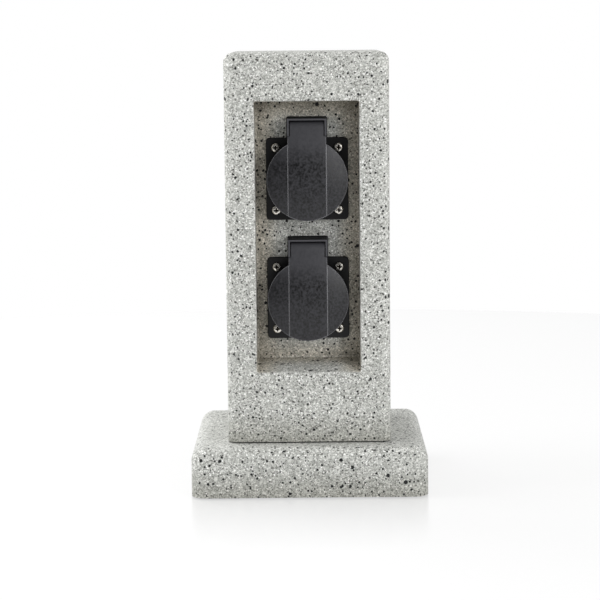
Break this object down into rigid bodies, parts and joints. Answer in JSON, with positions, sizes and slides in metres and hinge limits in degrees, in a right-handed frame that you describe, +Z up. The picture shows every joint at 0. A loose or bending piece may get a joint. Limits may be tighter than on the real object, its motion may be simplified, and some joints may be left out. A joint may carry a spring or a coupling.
{
  "type": "garden socket post",
  "caption": "Stone-look garden power post: a recessed column on a wider base, with earthed flange sockets under spring-closed hinged lids and a rear cable gland.",
  "frame": {"origin": "centre of the bounding box's footprint, on the ground under the rubber feet", "axes": "+Z up, +X to the right seen from the front, +Y to the back: the recess and the sockets face -Y"},
  "size_m": [0.143, 0.14, 0.2667],
  "materials": {
    "cast_stone": "cast resin with fine black, grey and white grains, matte",
    "socket_plastic": "moulded, satin black",
    "lid_plastic": "moulded with a fine grain, dark grey",
    "bright_screw": "nickel plated",
    "zinc_steel": "zinc plated",
    "brass": "turned",
    "contact_metal": "nickel plated strip",
    "spring_steel": "drawn wire",
    "rubber": "moulded, matte",
    "insulator": "moulded, off-white",
    "gland_plastic": "moulded, black",
    "brown_insulation": "extruded",
    "blue_insulation": "extruded",
    "green_yellow_insulation": "extruded, green and yellow"
  },
  "bodies": {
    "post": {"base_block": "cast_stone", "base_cover_plate": "zinc_steel", "base_cover_screws": "zinc_steel", "rubber_feet": "rubber", "column_shell": "cast_stone", "column_seal": "rubber", "column_screws": "zinc_steel", "column_screw_washers": "zinc_steel", "column_inserts": "brass", "gland_body": "gland_plastic", "gland_washer": "rubber", "gland_locknut": "gland_plastic", "gland_seal": "rubber", "gland_cap_nut": "gland_plastic", "terminal_block": "insulator", "terminal_clamps": "brass", "terminal_clamp_screws": "zinc_steel", "terminal_block_screws": "zinc_steel", "live_supply_wire": "brown_insulation", "earth_supply_wire": "green_yellow_insulation", "neutral_supply_wire": "blue_insulation", "live_link_wire": "brown_insulation", "earth_link_wire": "green_yellow_insulation", "neutral_link_wire": "blue_insulation", "upper_socket_body": "socket_plastic", "upper_socket_gasket": "rubber", "upper_flange_screws": "bright_screw", "upper_flange_inserts": "brass", "upper_contact_carrier": "insulator", "upper_pin_contacts": "brass", "upper_earth_strap": "contact_metal", "upper_contact_screws": "zinc_steel", "upper_rear_cap": "socket_plastic", "upper_rear_cap_screws": "zinc_steel", "upper_hinge_pin": "zinc_steel", "upper_lid_spring": "spring_steel", "lower_socket_body": "socket_plastic", "lower_socket_gasket": "rubber", "lower_flange_screws": "bright_screw", "lower_flange_inserts": "brass", "lower_contact_carrier": "insulator", "lower_pin_contacts": "brass", "lower_earth_strap": "contact_metal", "lower_contact_screws": "zinc_steel", "lower_rear_cap": "socket_plastic", "lower_rear_cap_screws": "zinc_steel", "lower_hinge_pin": "zinc_steel", "lower_lid_spring": "spring_steel"},
    "upper_cover": {"upper_lid": "lid_plastic", "upper_lid_seal": "rubber"},
    "lower_cover": {"lower_lid": "lid_plastic", "lower_lid_seal": "rubber"}
  },
  "joints": [
    {"name": "upper_lid_hinge", "type": "hinge", "parent": "post", "child": "upper_cover", "pos_m": [0, -0.0438, 0.222], "axis": [-1, 0, 0], "range_deg": [0, 95], "stiffness_Nm_per_rad": 0.012, "springref_deg": -68.75, "deforming": ["upper_lid_spring"]},
    {"name": "lower_lid_hinge", "type": "hinge", "parent": "post", "child": "lower_cover", "pos_m": [0, -0.0438, 0.1492], "axis": [-1, 0, 0], "range_deg": [0, 95], "stiffness_Nm_per_rad": 0.012, "springref_deg": -68.75, "deforming": ["lower_lid_spring"]}
  ]
}
